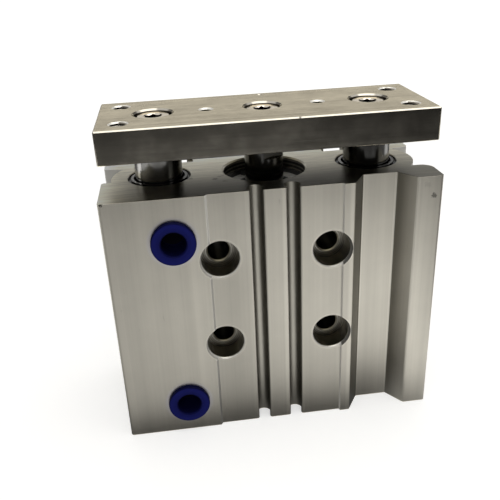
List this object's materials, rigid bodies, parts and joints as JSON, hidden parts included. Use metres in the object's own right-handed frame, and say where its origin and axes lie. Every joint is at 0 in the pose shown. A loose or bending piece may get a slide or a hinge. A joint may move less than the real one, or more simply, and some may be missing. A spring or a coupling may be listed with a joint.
{
  "type": "guided pneumatic cylinder",
  "caption": "Compact pneumatic cylinder with a guide rod on each side of the piston rod; air lifts and lowers a flat end plate above an extruded aluminium body.",
  "frame": {"origin": "middle of the body's bottom face", "axes": "+Z the way the plate lifts, +X along the row of rods, -Y out of the face with the air ports"},
  "size_m": [0.083, 0.0372, 0.083],
  "materials": {
    "anodised_body": "fine satin clear anodised extrusion, faint upright draw lines",
    "turned_cover": "turned and clear anodised",
    "piston_alloy": "turned",
    "nickel_plate": "ground flat and nickel plated, slightly warm",
    "hard_chrome": "ground and hard chrome plated",
    "bright_screw": "nickel plated",
    "dark_spring_steel": "phosphated spring steel",
    "bearing_alloy": "fine bored bearing alloy",
    "holder_steel": "pressed steel, plain",
    "felt": "oiled wool felt",
    "seal_rubber": "moulded nitrile rubber",
    "bumper_rubber": "moulded urethane",
    "wear_band": "filled acetal band",
    "magnet": "bonded magnet",
    "cap_plastic": "moulded deep blue polyethylene",
    "plug_steel": "nickel plated steel"
  },
  "bodies": {
    "cylinder": {"cylinder_body": "anodised_body", "head_cover": "turned_cover", "head_cover_seal": "seal_rubber", "head_retaining_ring": "dark_spring_steel", "rod_cover": "turned_cover", "rod_cover_seal": "seal_rubber", "rod_seal": "seal_rubber", "rod_retaining_ring": "dark_spring_steel", "guide_felt_left": "felt", "felt_holder_left": "holder_steel", "guide_bearing_lower_left": "bearing_alloy", "guide_bearing_upper_left": "bearing_alloy", "guide_felt_right": "felt", "felt_holder_right": "holder_steel", "guide_bearing_lower_right": "bearing_alloy", "guide_bearing_upper_right": "bearing_alloy", "side_port_plug_lower": "plug_steel", "side_port_plug_upper": "plug_steel"},
    "plate": {"end_plate": "nickel_plate", "piston_rod_screw": "bright_screw", "piston_rod": "hard_chrome", "piston": "piston_alloy", "piston_magnet": "magnet", "piston_seal": "seal_rubber", "piston_wear_ring": "wear_band", "head_bumper": "bumper_rubber", "rod_bumper": "bumper_rubber", "guide_rod_left": "hard_chrome", "guide_rod_right": "hard_chrome", "guide_rod_screw_left": "bright_screw", "guide_rod_screw_right": "bright_screw"},
    "port_cap_lower": {"port_cap_lower": "cap_plastic"},
    "port_cap_upper": {"port_cap_upper": "cap_plastic"}
  },
  "joints": [
    {"name": "plate_stroke", "type": "slide", "parent": "cylinder", "child": "plate", "axis": [0, 0, 1], "range_m": [0, 0.03]},
    {"name": "cap_lower_pull", "type": "slide", "parent": "cylinder", "child": "port_cap_lower", "axis": [0, -1, 0], "range_m": [0, 0.01]},
    {"name": "cap_upper_pull", "type": "slide", "parent": "cylinder", "child": "port_cap_upper", "axis": [0, -1, 0], "range_m": [0, 0.01]}
  ]
}
